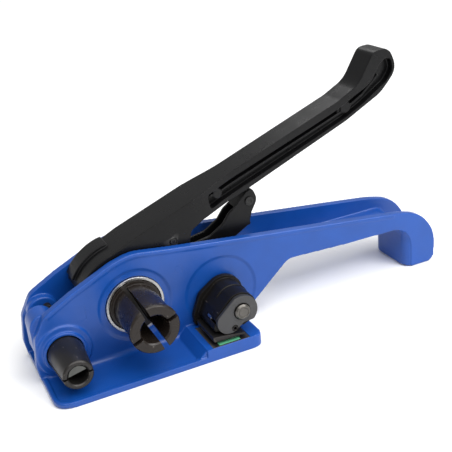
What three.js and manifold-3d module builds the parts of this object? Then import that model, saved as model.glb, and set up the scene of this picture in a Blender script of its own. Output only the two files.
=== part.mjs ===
// Strapping tensioner tool: a windlass tensioner with ratchet lever, holding pawl, cutter and gripper.
// Millimetres. X runs along the tool to its handle, Y into the body from the front wall, Z up.
// Origin: under the windlass axis, in the outer face of the front wall, on the underside of the base.
import * as THREE from 'three';
import { mergeVertices } from 'three/addons/utils/BufferGeometryUtils.js';
import Module from 'manifold-3d';

const wasm = await Module();
wasm.setup();

// ---------------------------------------------------------------- driving dimensions
const GAP = 0.3; // clearance between neighbouring pieces
const BODY_WIDTH = 46.5; // over both walls
const WALL = 6; // thickness of a side wall
const REAR = BODY_WIDTH - WALL; // inner face of the rear wall
const MIDDLE = BODY_WIDTH / 2;

const WINDLASS_Z = 40;
const WINDLASS = [0, WINDLASS_Z];
const DRUM_RADIUS = 17;
const DRUM_RIM_RADIUS = 18.3;
const DRUM_BORE_RADIUS = 10.5;
const DRUM_LENGTH = 42;
const JOURNAL_RADIUS = 19.5;
const BEARING_RADIUS = 22.1;
const SHAFT_RADIUS = 13;
const BUSH_RADIUS = 15.7;
const MAIN_SLOT = 3.8;
const CROSS_SLOT = 2.6;
const SLOT_ANGLE = 112; // degrees from +X towards +Z

const TEETH = 24;
const PITCH = 360 / TEETH;
const TIP_RADIUS = 27;
const ROOT_RADIUS = 23.5;
// A tooth's driven face leans, so that a pawl lifts clear of it.
const RAKE = Math.tan(THREE.MathUtils.degToRad(18));
const RATCHET_FROM = 15.75;
const RATCHET_TO = 30.75;

const NOSE_RADIUS = 41; // outside of the lever's nose, about the windlass axis
const NOSE_BORE = 37;
const HUB_RADIUS = 22;
const LEVER_WIDTH = 23;
const LEVER_FRONT = MIDDLE - LEVER_WIDTH / 2;
const LEVER_BACK = MIDDLE + LEVER_WIDTH / 2;
const CHEEK_FRONT = 7;
const CHEEK_BACK = BODY_WIDTH - CHEEK_FRONT;
const CHEEK = 4.5;
const HEAD_END = 54; // X where the head starts to narrow
const HANDLE_START = 92;

const DRIVE_PIVOT = [37.1, 77.7];
const DRIVE_PIN_RADIUS = 3;
const HOLD_PIVOT = [36, 58];
const HOLD_PIN_RADIUS = 3;
const HOLD_PIN_FRONT = 2; // its bore is closed towards the front
const TAIL_PIN = [104, 89.8];
const TAIL_PIN_RADIUS = 2.5;

const CUTTER = [-56.2, 20.7];
const SLEEVE_RADIUS = 12; // inside the body
const SLEEVE_ROOT_RADIUS = 13.2; // at the front wall, from where it tapers
const SLEEVE_END_RADIUS = 10.9;
const SLEEVE_BORE = 7.2;
const SLEEVE_LENGTH = 36.8;
const BLADE_RADIUS = 6.8;
const HUB_DEPTH = 22.5; // rear face of the nose hub

const GRIPPER = [67.6, 30];
const AXLE_RADIUS = 6;
const GRIPPER_LENGTH = 36.5;
const GRIPPER_RADIUS = 13.2;
const ROLL_PIN = [60.9, 18.2];
const ROLL_PIN_RADIUS = 2.3;
const STOP_PIN = [49, 24.8];
const STOP_PIN_RADIUS = 1.6;

const BASE_LEFT = -75.5;
const BASE_RIGHT = 80.5;
const BASE_FRONT = -41;
const BASE_HEIGHT = 4.2;
const FLOOR_HEIGHT = 5;
const PLATEAU_LEFT = 36;
const PLATEAU_HEIGHT = 10;
const TRAY = { left: 41, right: 70, front: -40, back: -6, floor: 4.8, top: 9.7 };
const TRAY_SCREWS = [
  [48, -14],
  [63, -14],
];

const HOOK_INNER = 236; // inner face of the hook at the handle's end
const HOOK_BEND = 12;

// ---------------------------------------------------------------- finishes
const finish = (color, roughness, metalness) =>
  new THREE.MeshStandardMaterial({ color, roughness, metalness });
const BLUE = finish(0x1f4fb0, 0.38, 0.1);
const BLACK = finish(0x17181a, 0.5, 0.3);
const DARK = finish(0x2b2c2e, 0.45, 0.6);
const STEEL = finish(0xc4c6c8, 0.28, 1);
const SPRING = finish(0x9a9c9e, 0.32, 1);
const GREEN = finish(0x2f8f55, 0.5, 0);

// ---------------------------------------------------------------- solids
const radians = THREE.MathUtils.degToRad;

function solid(geometry) {
  const bare = geometry.index ? geometry.toNonIndexed() : geometry.clone();
  bare.deleteAttribute('normal');
  bare.deleteAttribute('uv');
  const merged = mergeVertices(bare, 1e-4);
  const vertProperties = Float32Array.from(merged.attributes.position.array);
  const triVerts = Uint32Array.from(merged.index.array);
  return new wasm.Manifold(new wasm.Mesh({ numProp: 3, vertProperties, triVerts }));
}

function geometryOf(body) {
  const { vertProperties, triVerts } = body.getMesh();
  const geometry = new THREE.BufferGeometry();
  geometry.setAttribute('position', new THREE.BufferAttribute(Float32Array.from(vertProperties), 3));
  geometry.setIndex(new THREE.BufferAttribute(Uint32Array.from(triVerts), 1));
  const faceted = geometry.toNonIndexed();
  faceted.computeVertexNormals();
  return faceted;
}

const joined = (first, ...rest) => rest.reduce((sum, body) => sum.add(body), first);
const cut = (first, ...rest) => rest.reduce((body, tool) => body.subtract(tool), first);

// Points of an arc in the XZ plane, from one angle to another in degrees, about (x, z).
function arc(x, z, radius, from, to, steps = Math.max(2, Math.round(Math.abs(to - from) / 9))) {
  return Array.from({ length: steps + 1 }, (_, i) => {
    const angle = radians(from + ((to - from) * i) / steps);
    return [x + radius * Math.cos(angle), z + radius * Math.sin(angle)];
  });
}

// A point at a radius and an angle about the windlass axis.
function polar(radius, angle) {
  return [radius * Math.cos(radians(angle)), WINDLASS_Z + radius * Math.sin(radians(angle))];
}

// The angle of a leaning tooth face at a radius, for the face whose root is at the given angle.
function faceAngle(radius, root) {
  return root + THREE.MathUtils.radToDeg(((radius - ROOT_RADIUS) * RAKE) / radius);
}

// The front of a pawl's nose, which lies a small gap in front of the tooth face at that angle.
function pawlFace(root) {
  const clear = 0.9; // degrees
  return [polar(24, faceAngle(24, root) - clear), polar(28.5, faceAngle(28.5, root) - clear)];
}

// Rounds every corner of an outline that carries a third value, its radius.
function rounded(points) {
  const count = points.length;
  return points.flatMap(([x, z, radius], i) => {
    if (!radius) return [[x, z]];
    const corner = new THREE.Vector2(x, z);
    const before = new THREE.Vector2(...points[(i + count - 1) % count]).sub(corner);
    const after = new THREE.Vector2(...points[(i + 1) % count]).sub(corner);
    const room = 0.48 * Math.min(before.length(), after.length());
    const half = before.angleTo(after) / 2;
    const reach = Math.min(room, radius / Math.tan(half));
    before.normalize();
    after.normalize();
    const start = corner.clone().addScaledVector(before, reach);
    const end = corner.clone().addScaledVector(after, reach);
    const steps = Math.max(2, Math.round((180 - THREE.MathUtils.radToDeg(2 * half)) / 18));
    const bend = new THREE.QuadraticBezierCurve(start, corner, end);
    return bend.getPoints(steps).map((point) => [point.x, point.y]);
  });
}

// A plate: an outline in the XZ plane, between two values of Y.
function plate(points, from, to) {
  const shape = new THREE.Shape(rounded(points).map(([x, z]) => new THREE.Vector2(x, z)));
  const geometry = new THREE.ExtrudeGeometry(shape, { depth: to - from, bevelEnabled: false });
  geometry.rotateX(Math.PI / 2).translate(0, to, 0);
  return solid(geometry);
}

function rod([x, z], radius, from, to, sides = 28) {
  const geometry = new THREE.CylinderGeometry(radius, radius, to - from, sides);
  return solid(geometry.translate(x, (from + to) / 2, z));
}

const tube = (centre, outer, inner, from, to, sides = 28) =>
  cut(rod(centre, outer, from, to, sides), rod(centre, inner, from - 1, to + 1, sides));

// A turned piece: pairs of radius and Y, revolved about the line through (x, z) along Y.
function turned([x, z], profile, sides = 40) {
  const points = profile.map(([radius, y]) => new THREE.Vector2(radius, y));
  return solid(new THREE.LatheGeometry(points, sides).translate(x, 0, z));
}

function box(x0, x1, y0, y1, z0, z1) {
  const geometry = new THREE.BoxGeometry(x1 - x0, y1 - y0, z1 - z0);
  return solid(geometry.translate((x0 + x1) / 2, (y0 + y1) / 2, (z0 + z1) / 2));
}

// A rod that stands upright at (x, y).
function upright(x, y, radius, from, to, sides = 24) {
  const geometry = new THREE.CylinderGeometry(radius, radius, to - from, sides);
  return solid(geometry.rotateX(Math.PI / 2).translate(x, y, (from + to) / 2));
}

// A bar across an axis along Y: a slot cutter of the given width, turned by an angle in the XZ plane.
function crossBar([x, z], length, width, angle, from, to) {
  const geometry = new THREE.BoxGeometry(length, to - from, width);
  geometry.rotateY(-radians(angle)).translate(x, (from + to) / 2, z);
  return solid(geometry);
}

// A torsion spring about a line along Y: a coil with a straight leg off each end.
class Coil extends THREE.Curve {
  constructor([x, z], radius, from, to, turns, startAngle, leg) {
    super();
    Object.assign(this, { x, z, radius, from, to, startAngle, leg });
    this.sweep = turns * 2 * Math.PI;
    this.span = this.sweep * radius;
  }

  getPoint(t, target = new THREE.Vector3()) {
    const along = -this.leg + t * (this.span + 2 * this.leg);
    const onCoil = THREE.MathUtils.clamp(along, 0, this.span);
    const beyond = along - onCoil;
    const angle = radians(this.startAngle) + onCoil / this.radius;
    return target.set(
      this.x + this.radius * Math.cos(angle) - beyond * Math.sin(angle),
      this.from + (this.to - this.from) * (onCoil / this.span),
      this.z + this.radius * Math.sin(angle) + beyond * Math.cos(angle),
    );
  }
}

function spring(centre, radius, wire, from, to, turns, startAngle, leg) {
  const path = new Coil(centre, radius, from + wire, to - wire, turns, startAngle, leg);
  const section = new THREE.Shape(arc(0, 0, wire, 0, 288, 4).map(([x, y]) => new THREE.Vector2(x, y)));
  const steps = Math.round(turns * 15 + leg);
  return solid(new THREE.ExtrudeGeometry(section, { steps, extrudePath: path, bevelEnabled: false }));
}

// ---------------------------------------------------------------- assembly
const tool = new THREE.Group();

function add(name, body, material, parent = tool) {
  const mesh = new THREE.Mesh(geometryOf(body), material);
  mesh.name = name;
  parent.add(mesh);
  return mesh;
}

// ---------------------------------------------------------------- body casting
const WALL_OUTLINE = [
  [BASE_LEFT, 0, 2],
  [BASE_LEFT - 2, 14, 8],
  [-75, 35, 10],
  [-66.5, 50.5, 14],
  [-45.1, 62, 30],
  [-13.9, 76, 30],
  [2, 80.4, 40],
  [31.5, 76, 60],
  [103.6, 67],
  [182.8, 57.5],
  [229, 51.8, 130],
  [250.6, 46.3, 30],
  [265.2, 26.8, 34],
  [264, 0, 6],
  [HOOK_INNER, 0.6, 4],
  [HOOK_INNER, 37.6, HOOK_BEND],
  [177.5, 38.4],
  [126, 40.6, 12],
  [95.4, 14.2, 10],
  [BASE_RIGHT, 0, 4],
];

const END_WEB = [
  [214, 37.7],
  [HOOK_INNER, 37.7, HOOK_BEND],
  [HOOK_INNER, 1],
  [HOOK_INNER + 6, 1],
  [HOOK_INNER + 6, 42, HOOK_BEND + 3],
  [214, 41.6],
];

// A plate with its outline in the XY plane, standing on the ground.
function slab(points, height) {
  const shape = new THREE.Shape(rounded(points).map(([x, y]) => new THREE.Vector2(x, y)));
  return solid(new THREE.ExtrudeGeometry(shape, { depth: height, bevelEnabled: false }));
}

function baseFoot() {
  const outline = [
    [BASE_LEFT, 4],
    [BASE_LEFT, BASE_FRONT, 10],
    [BASE_RIGHT, BASE_FRONT, 7],
    [BASE_RIGHT, 4],
  ];
  const low = slab(outline, BASE_HEIGHT);
  const tray = box(BASE_LEFT + 3, PLATEAU_LEFT - 1.5, BASE_FRONT + 2.6, -2, BASE_HEIGHT - 1.2, 20);
  const high = cut(slab(outline, PLATEAU_HEIGHT), box(-90, PLATEAU_LEFT, -60, 60, -1, 20));
  const skirt = plate([[BASE_LEFT + 2, 3], [34, 3], [34, 7.5], [BASE_LEFT + 4, 7.5]], -1.2, 1);
  const slope = [
    [PLATEAU_LEFT - 7, BASE_HEIGHT - 1.4],
    [PLATEAU_LEFT + 1, BASE_HEIGHT - 1.4],
    [PLATEAU_LEFT + 1, PLATEAU_HEIGHT - 0.4],
    [PLATEAU_LEFT, PLATEAU_HEIGHT - 0.4],
  ];
  return joined(cut(low, tray), high, skirt, plate(slope, BASE_FRONT + 1.5, 1));
}

// Takes the sharp corner off the inside of the hook, where it is gripped.
function hookChamfer(face, inwards) {
  const reach = 7;
  const top = 30;
  const corner = [
    [HOOK_INNER - 1, face],
    [HOOK_INNER + reach, face],
    [HOOK_INNER - 1, face + inwards * (reach + 1)],
  ];
  return slab(inwards > 0 ? corner : corner.reverse(), top);
}

function bodyCasting() {
  const walls = [plate(WALL_OUTLINE, 0, WALL), plate(WALL_OUTLINE, REAR, BODY_WIDTH)];
  const webFrom = WALL - 0.5;
  const webTo = REAR + 0.5;
  const floor = cut(
    box(BASE_LEFT, BASE_RIGHT, webFrom, webTo, 0, FLOOR_HEIGHT),
    box(-34, 34, WALL + 0.6, REAR - 0.6, -1, FLOOR_HEIGHT + 1),
  );
  const channelLine = [
    [122, 37.6],
    [126, 40.3],
    [177.5, 38.7],
    [216, 37.7],
    [216, 41.6],
    [122, 42],
  ];
  const noseHub = joined(
    rod([-66, 40], 10.2, webFrom, HUB_DEPTH, 40),
    rod(CUTTER, 17, webFrom, HUB_DEPTH, 48),
    plate([[-76, 20], [-76, 40], [-58, 47], [-41, 26]], webFrom, HUB_DEPTH),
  );
  const rearBoss = joined(
    rod([-60, 37], 12, 34, webTo, 40),
    rod(CUTTER, 13, 34, webTo, 40),
    plate([[-72, 37], [-69, 20], [-43.4, 20], [-48, 37]], 34, webTo),
  );
  const whole = joined(
    ...walls,
    baseFoot(),
    floor,
    plate(channelLine, webFrom, webTo),
    plate(END_WEB, webFrom, webTo),
    noseHub,
    rearBoss,
    rod(CUTTER, 20, -1.5, 1, 40),
    rod(CUTTER, 15.6, -3.6, 1, 36),
    rod(GRIPPER, 10, WALL - 1, WALL + 1.5),
  );
  return cut(
    whole,
    hookChamfer(-0.5, 1),
    hookChamfer(BODY_WIDTH + 0.5, -1),
    rod(WINDLASS, 28.2, -3, 0.8, 48),
    cut(rod(GRIPPER, 29.3, -1, 0.8, 48), box(0, 120, -20, 20, -10, PLATEAU_HEIGHT)),
    rod(WINDLASS, BEARING_RADIUS + GAP, -5, WALL + 0.3, 44),
    rod(WINDLASS, BUSH_RADIUS + 2 * GAP, REAR - 1, BODY_WIDTH + 1, 40),
    rod(HOLD_PIVOT, HOLD_PIN_RADIUS + GAP, HOLD_PIN_FRONT - GAP, BODY_WIDTH + 1, 24),
    turned(CUTTER, [
      [0, -5],
      [SLEEVE_ROOT_RADIUS + 3 * GAP, -5],
      [SLEEVE_RADIUS + GAP, 3],
      [SLEEVE_RADIUS + GAP, HUB_DEPTH + 1],
      [0, HUB_DEPTH + 1],
    ]),
    rod(CUTTER, BLADE_RADIUS + GAP, 33, BODY_WIDTH + 1, 32),
    rod(GRIPPER, AXLE_RADIUS + GAP, -1, 9, 32),
    box(TRAY.left - GAP, TRAY.right + GAP, TRAY.front - GAP, TRAY.back + GAP, TRAY.floor - GAP, 20),
    ...TRAY_SCREWS.map(([x, y]) => upright(x, y, 2.4, -1, 6)),
    ...TRAY_SCREWS.map(([x, y]) => upright(x, y, 4.2, -1, 2.4)),
  );
}

add('body_casting', bodyCasting(), BLUE);

// ---------------------------------------------------------------- windlass
const KEY = { half: 3, from: 10.5, to: 16 };

function windlassDrum() {
  const front = -DRUM_LENGTH;
  const drum = turned(WINDLASS, [
    [0, front + 36],
    [DRUM_BORE_RADIUS, front + 36],
    [DRUM_BORE_RADIUS, front + 1.2],
    [DRUM_BORE_RADIUS + 1.2, front],
    [DRUM_RIM_RADIUS - 1.2, front],
    [DRUM_RIM_RADIUS, front + 1.2],
    [DRUM_RIM_RADIUS, front + 4.6],
    [DRUM_RADIUS, front + 6],
    [DRUM_RADIUS, -1.6],
    [JOURNAL_RADIUS, -1.6],
    [JOURNAL_RADIUS, WALL + 0.2],
    [SHAFT_RADIUS, WALL + 0.2],
    [SHAFT_RADIUS, 47],
    [SHAFT_RADIUS - 1.4, 47],
    [SHAFT_RADIUS - 1.4, 48.6],
    [SHAFT_RADIUS, 48.6],
    [SHAFT_RADIUS, 50],
    [SHAFT_RADIUS - 1, 51],
    [0, 51],
  ]);
  return cut(
    drum,
    crossBar(WINDLASS, 60, MAIN_SLOT, SLOT_ANGLE, front - 1, -1.6),
    crossBar(WINDLASS, 60, CROSS_SLOT, SLOT_ANGLE - 90, front - 1, front + 10),
    box(-KEY.half - GAP, KEY.half + GAP, RATCHET_FROM, 60, WINDLASS_Z + KEY.from - GAP, 70),
  );
}

function ratchetWheel() {
  const points = [];
  for (let tooth = 0; tooth < TEETH; tooth += 1) {
    const start = tooth * PITCH;
    const tip = faceAngle(TIP_RADIUS, start);
    points.push(polar(ROOT_RADIUS, start), polar(TIP_RADIUS, tip), polar(TIP_RADIUS, tip + 1.4));
    points.push(polar(ROOT_RADIUS + 1.6, start + PITCH * 0.62));
  }
  return cut(
    plate(points, RATCHET_FROM, RATCHET_TO),
    rod(WINDLASS, SHAFT_RADIUS + GAP, 0, 40, 48),
    box(-KEY.half - GAP, KEY.half + GAP, 0, 40, WINDLASS_Z, WINDLASS_Z + KEY.to + GAP),
  );
}

function windlassCirclip() {
  const ring = tube(WINDLASS, SHAFT_RADIUS + 3, SHAFT_RADIUS - 1.1, 47.3, 48.3, 40);
  return cut(ring, crossBar([0, WINDLASS_Z - 14], 3, 12, 0, 40, 60));
}

add('windlass_drum', windlassDrum(), BLACK);
add(
  'windlass_front_bearing',
  tube(WINDLASS, BEARING_RADIUS, JOURNAL_RADIUS + GAP, -1.2, WALL, 44),
  STEEL,
);
add(
  'windlass_rear_bush',
  tube(WINDLASS, BUSH_RADIUS + GAP, SHAFT_RADIUS + GAP, REAR + 0.1, 46.6, 40),
  STEEL,
);
add('windlass_circlip', windlassCirclip(), DARK);
add('ratchet_wheel', ratchetWheel(), DARK);
add(
  'ratchet_key',
  box(-KEY.half, KEY.half, RATCHET_FROM + 0.4, RATCHET_TO, WINDLASS_Z + KEY.from, WINDLASS_Z + KEY.to),
  STEEL,
);

// ---------------------------------------------------------------- drive lever
const LEVER_TOP = [
  [4, 86, 20],
  [40, 99.3],
  [184, 152.6, 30],
  [202, 162, 24],
  [216, 184.5, 8],
];
const LEVER_UNDERSIDE = [
  [230, 185.5, 10],
  [237.5, 168, 16],
  [222, 151.6, 30],
  [190, 135.6],
  [100, 100.2],
];
const CHEEK_EDGE = [
  [62, 87.5, 8],
  [52, 82, 6],
  [49.7, 71.5, 3],
  [30, 68, 6],
  [22, 46],
];
const HANDLE_POCKET = [
  [68, 104.8, 3],
  [120, 123.4],
  [160, 137.4],
  [183, 146, 20],
  [209.7, 159.1, 20],
  [214.5, 163, 8],
  [220.5, 173, 8],
  [226, 177.5, 5],
  [231.5, 177, 4],
  [233.4, 168, 8],
  [227, 159.5, 15],
  [206, 146.3, 20],
  [190, 138.3, 20],
  [160, 126.8],
  [70, 93.2, 3],
];
const SPINE = [
  [76, 103.2],
  [76, 102.2],
  [190, 143.2],
  [206, 152],
  [221, 165.4],
  [220, 166.2],
  [205, 153],
  [189.6, 144.2],
];

// The head fills the space between the walls, and the handle is narrower.
function tapered(body) {
  const headWidth = CHEEK_BACK - CHEEK_FRONT;
  return body.warp((point) => {
    const share = THREE.MathUtils.smoothstep(point[0], HEAD_END, HANDLE_START);
    const width = THREE.MathUtils.lerp(headWidth, LEVER_WIDTH, share);
    point[1] = MIDDLE + ((point[1] - MIDDLE) * width) / headWidth;
  });
}

function driveLever() {
  const nose = arc(...WINDLASS, NOSE_RADIUS, 155, 103);
  const hub = arc(...WINDLASS, HUB_RADIUS, 0, -145);
  const outline = [...nose, ...LEVER_TOP, ...LEVER_UNDERSIDE, ...CHEEK_EDGE, ...hub];
  const block = plate(outline, CHEEK_FRONT, CHEEK_BACK);
  const cavityLine = [
    ...arc(...WINDLASS, NOSE_BORE, 190, 92),
    [12, 84.2],
    [54, 98.5, 4],
    [54, 20],
    [-45, 10],
  ];
  const padLine = [...arc(...WINDLASS, NOSE_RADIUS + 2.2, 150, 101), ...arc(...WINDLASS, 39, 101, 150)];
  const depth = 8.5;
  const bossAt = (centre) => rod(centre, 4, CHEEK_FRONT + 1, CHEEK_BACK - 1, 20);
  const bosses = [bossAt([190.5, 146]), bossAt([77, 104])];
  const shell = joined(
    cut(
      block,
      plate(cavityLine, CHEEK_FRONT + CHEEK, CHEEK_BACK - CHEEK),
      plate(HANDLE_POCKET, CHEEK_FRONT - 1, CHEEK_FRONT + depth),
      plate(HANDLE_POCKET, CHEEK_BACK - depth, CHEEK_BACK + 1),
    ),
    plate(SPINE, CHEEK_FRONT + 2, CHEEK_BACK - 2),
    plate(padLine, MIDDLE, CHEEK_BACK),
    ...bosses,
  );
  return cut(
    tapered(shell),
    rod(WINDLASS, BUSH_RADIUS + GAP, 0, BODY_WIDTH, 40),
    rod(DRIVE_PIVOT, DRIVE_PIN_RADIUS + GAP, 0, BODY_WIDTH, 24),
  );
}

// The driving pawl's nose rests on the tooth face at 90 degrees, at the top of the wheel.
function drivePawl() {
  const [x, z] = DRIVE_PIVOT;
  const [toe, brow] = pawlFace(90);
  const profile = [
    toe,
    [2.9, WINDLASS_Z + 25.9],
    [8.2, WINDLASS_Z + 29.2],
    ...arc(x, z, 6.2, -82, 108),
    [5, WINDLASS_Z + 33.4],
    brow,
  ];
  return cut(
    plate(profile, MIDDLE + 0.9, RATCHET_TO),
    rod(DRIVE_PIVOT, DRIVE_PIN_RADIUS + GAP, 0, 50, 24),
  );
}

add('drive_lever', driveLever(), BLACK);
add(
  'lever_front_bush',
  tube(WINDLASS, BUSH_RADIUS, SHAFT_RADIUS + GAP, 6.5, RATCHET_FROM - GAP, 40),
  STEEL,
);
add(
  'lever_rear_bush',
  tube(WINDLASS, BUSH_RADIUS, SHAFT_RADIUS + GAP, RATCHET_TO + GAP, REAR - 0.2, 40),
  STEEL,
);
add('drive_pawl', drivePawl(), DARK);
add('drive_pawl_pin', rod(DRIVE_PIVOT, DRIVE_PIN_RADIUS, 6.6, REAR - 0.6, 24), DARK);
add('drive_pawl_spring', spring(DRIVE_PIVOT, 4.4, 0.5, 31.2, 34.7, 2.4, 200, 5), SPRING);

// ---------------------------------------------------------------- release lever and holding pawl
const FINGER_FRONT = 15.5;
const FINGER_BACK = 29;
const FLANGE = 2.6;
const FINGER_LINE = [
  ...arc(...HOLD_PIVOT, 7, 120, 280, 12),
  [60, 50.5, 12],
  [88, 62.8, 10],
  [101.5, 70.2, 2],
  [104, 70.4, 1],
  [103.6, 73.8, 1],
  [105.6, 80.3, 8],
  [111.2, 89.8, 8],
  [107.6, 99.4, 4],
  [101.5, 97, 5],
  [95, 89],
  [87, 84, 8],
  [81, 76.4, 10],
  [70, 69.6, 10],
  [44, 65.4, 6],
];
const FINGER_VALLEY = [
  [50, 57.5],
  [60, 54.6],
  [87.5, 66.4, 8],
  [99.5, 73.6, 3],
  [100.6, 80, 3],
  [96, 84, 4],
  [86, 92],
  [60, 80],
  [50, 74],
];

// The pawl's nose rests on the tooth face at 60 degrees; the long finger ends under the drive lever.
function releaseLever() {
  const [x, z] = HOLD_PIVOT;
  const [toe, brow] = pawlFace(60);
  const nose = [
    toe,
    polar(26, 54),
    polar(29.4, 45),
    ...arc(x, z, 6.4, 215, 270, 4),
    [38, 57],
    ...arc(x, z, 6.4, 60, 95, 3),
    [22, WINDLASS_Z + 27.5],
    brow,
  ];
  const finger = cut(
    plate(FINGER_LINE, FINGER_FRONT, FINGER_BACK),
    rod(WINDLASS, 29.6, RATCHET_FROM - 1, FINGER_BACK + 1, 48),
    plate(FINGER_VALLEY, FINGER_FRONT + FLANGE, FINGER_BACK - FLANGE),
  );
  return cut(
    joined(finger, plate(nose, RATCHET_FROM, MIDDLE - 0.9)),
    rod(HOLD_PIVOT, HOLD_PIN_RADIUS + GAP, 0, 50, 24),
    rod(TAIL_PIN, TAIL_PIN_RADIUS + GAP, 0, 50, 20),
  );
}

function tailPin() {
  const headed = [
    [0, FINGER_FRONT - 1.2],
    [3.4, FINGER_FRONT - 1.2],
    [3.4, FINGER_FRONT - GAP],
    [TAIL_PIN_RADIUS, FINGER_FRONT - GAP],
    [TAIL_PIN_RADIUS, FINGER_BACK + GAP],
    [3.4, FINGER_BACK + GAP],
    [3.4, FINGER_BACK + 1.2],
    [0, FINGER_BACK + 1.2],
  ];
  return turned(TAIL_PIN, headed, 20);
}

add('release_lever', releaseLever(), BLACK);
add('release_lever_pin', rod(HOLD_PIVOT, HOLD_PIN_RADIUS, HOLD_PIN_FRONT, 49.6, 24), STEEL);
add('release_lever_circlip', tube(HOLD_PIVOT, 5, HOLD_PIN_RADIUS + GAP, 46.9, 48, 24), DARK);
add('release_lever_spring', spring(HOLD_PIVOT, 4.7, 0.55, 7.2, 12.6, 3.4, 20, 7), SPRING);
add('release_lever_tail_pin', tailPin(), DARK);

// ---------------------------------------------------------------- cutter
const BLADE_TILT = 12;
const ARM = { from: HUB_DEPTH + 0.8, to: HUB_DEPTH + 6.8, middle: HUB_DEPTH + 3.8 };

function cutterSleeve() {
  const sleeve = turned(CUTTER, [
    [SLEEVE_BORE, -SLEEVE_LENGTH + 0.8],
    [SLEEVE_BORE + 0.8, -SLEEVE_LENGTH],
    [SLEEVE_END_RADIUS - 1, -SLEEVE_LENGTH],
    [SLEEVE_END_RADIUS, -SLEEVE_LENGTH + 1],
    [SLEEVE_ROOT_RADIUS, -5],
    [SLEEVE_RADIUS, 2.4],
    [SLEEVE_RADIUS, HUB_DEPTH],
    [SLEEVE_BORE, HUB_DEPTH],
    [SLEEVE_BORE, -SLEEVE_LENGTH + 0.8],
  ]);
  return cut(sleeve, crossBar(CUTTER, 40, 1.4, 5, -40, -4));
}

function cutterShaft() {
  const [x, z] = CUTTER;
  const shaft = turned(CUTTER, [
    [0, -SLEEVE_LENGTH + 1.4],
    [BLADE_RADIUS, -SLEEVE_LENGTH + 1.4],
    [BLADE_RADIUS, BODY_WIDTH],
    [0, BODY_WIDTH],
  ], 40);
  const relief = new THREE.BoxGeometry(20, 36, 20);
  relief.translate(0, -SLEEVE_LENGTH - 1 + 18, 1.4 - 10);
  relief.rotateY(-radians(BLADE_TILT)).translate(x, 0, z);
  const slot = upright(x, ARM.middle, 1.5 + GAP, z - 2, z + 10, 20);
  return cut(shaft, solid(relief), slot, rod(CUTTER, 2, BODY_WIDTH - 9, 60, 20));
}

function cutterArm() {
  const [x, z] = CUTTER;
  const profile = [
    ...arc(x, z, 11, 150, 390, 24),
    [x + 2.2, z + 22, 3],
    [x + 0.5, z + 26.5, 3],
    [x - 4.5, z + 25, 3],
  ];
  return cut(
    plate(profile, ARM.from, ARM.to),
    rod(CUTTER, BLADE_RADIUS + GAP, 0, 50, 32),
    upright(x, ARM.middle, 1.5 + GAP, z, z + 16, 20),
  );
}

function cutterScrew() {
  const head = BODY_WIDTH + 2.1;
  const screw = turned(CUTTER, [
    [0, BODY_WIDTH - 8.5],
    [1.7, BODY_WIDTH - 8.5],
    [1.7, head],
    [5, head],
    [5, head + 2.2],
    [4.2, head + 3],
    [0, head + 3],
  ], 24);
  return cut(screw, crossBar(CUTTER, 12, 1.2, 0, head + 1.6, head + 4));
}

add('cutter_sleeve', cutterSleeve(), BLACK);
add('cutter_shaft', cutterShaft(), STEEL);
add('cutter_arm', cutterArm(), BLACK);
add('cutter_arm_pin', upright(CUTTER[0], ARM.middle, 1.5, CUTTER[1] - 1.5, CUTTER[1] + 14, 20), STEEL);
add('cutter_spring', spring(CUTTER, 8.3, 0.5, 31.1, 33.7, 1.4, 30, 4), SPRING);
add('cutter_washer', tube(CUTTER, 9.5, 2.3, BODY_WIDTH + GAP, BODY_WIDTH + 1.8, 32), STEEL);
add('cutter_screw', cutterScrew(), DARK);

// ---------------------------------------------------------------- gripper
const [GX, GZ] = GRIPPER;
const REAR_DISC = [
  ...arc(GX, GZ, 15.4, -30, 118, 18),
  [48, 35.4, 8],
  [41.3, 19, 8],
  [41.8, 11.6, 1.5],
  [46.6, 11.6, 1],
  [47.6, 17.2],
  [73.6, 15, 6],
];
const CAM_BODY = [
  ...arc(GX, GZ, GRIPPER_RADIUS, -60, 120, 18),
  [50.5, 31.5, 6],
  [46, 21.5, 5],
  [46.4, 17.6, 1],
  [70, 16.8, 3],
];
const CAM_PLATE = [
  ...arc(GX, GZ, 12.3, -48, 118, 20),
  ...arc(57.2, 24.6, 9.6, 150, 325, 16),
  [68.6, 21, 3],
];

function gripperCam() {
  return cut(
    joined(
      plate(REAR_DISC, -5, -1),
      plate(CAM_BODY, -32.6, -4),
      rod(GRIPPER, GRIPPER_RADIUS + 0.6, -18.6, -17, 40),
      plate(CAM_PLATE, -32.6, -24),
    ),
    rod(GRIPPER, AXLE_RADIUS + GAP, -40, 5, 36),
    rod(GRIPPER, 9.4, -40, -24, 36),
    rod(ROLL_PIN, ROLL_PIN_RADIUS + GAP, -40, -23, 20),
    rod(STOP_PIN, STOP_PIN_RADIUS + GAP, -40, -17, 16),
  );
}

function gripperPlate() {
  return cut(
    plate(CAM_PLATE, -GRIPPER_LENGTH + 0.5, -33),
    rod(GRIPPER, AXLE_RADIUS + 2 * GAP, -50, 5, 36),
    rod(ROLL_PIN, ROLL_PIN_RADIUS + GAP, -50, 5, 20),
  );
}

function gripperAxle() {
  return turned(GRIPPER, [
    [0, -38.4],
    [AXLE_RADIUS - 1.4, -38.4],
    [AXLE_RADIUS, -37],
    [AXLE_RADIUS, 9.2],
    [4, 9.2],
    [4, 19],
    [0, 19],
  ], 36);
}

function gripperShoe() {
  const profile = [
    [43.4, 12.2],
    [42.8, 16.3, 0.6],
    [46, 16.1],
    [68, 13, 0.6],
    [67.6, 11.4],
  ];
  const pitch = 3;
  const teeth = Array.from({ length: 7 }, (_, i) => {
    const x = 45 + i * pitch;
    return plate([[x, 10.6], [x + 2, 10.6], [x + 1, 12.6]], -50, 0);
  });
  return cut(plate(profile, -37, -5.6), ...teeth);
}

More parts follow.
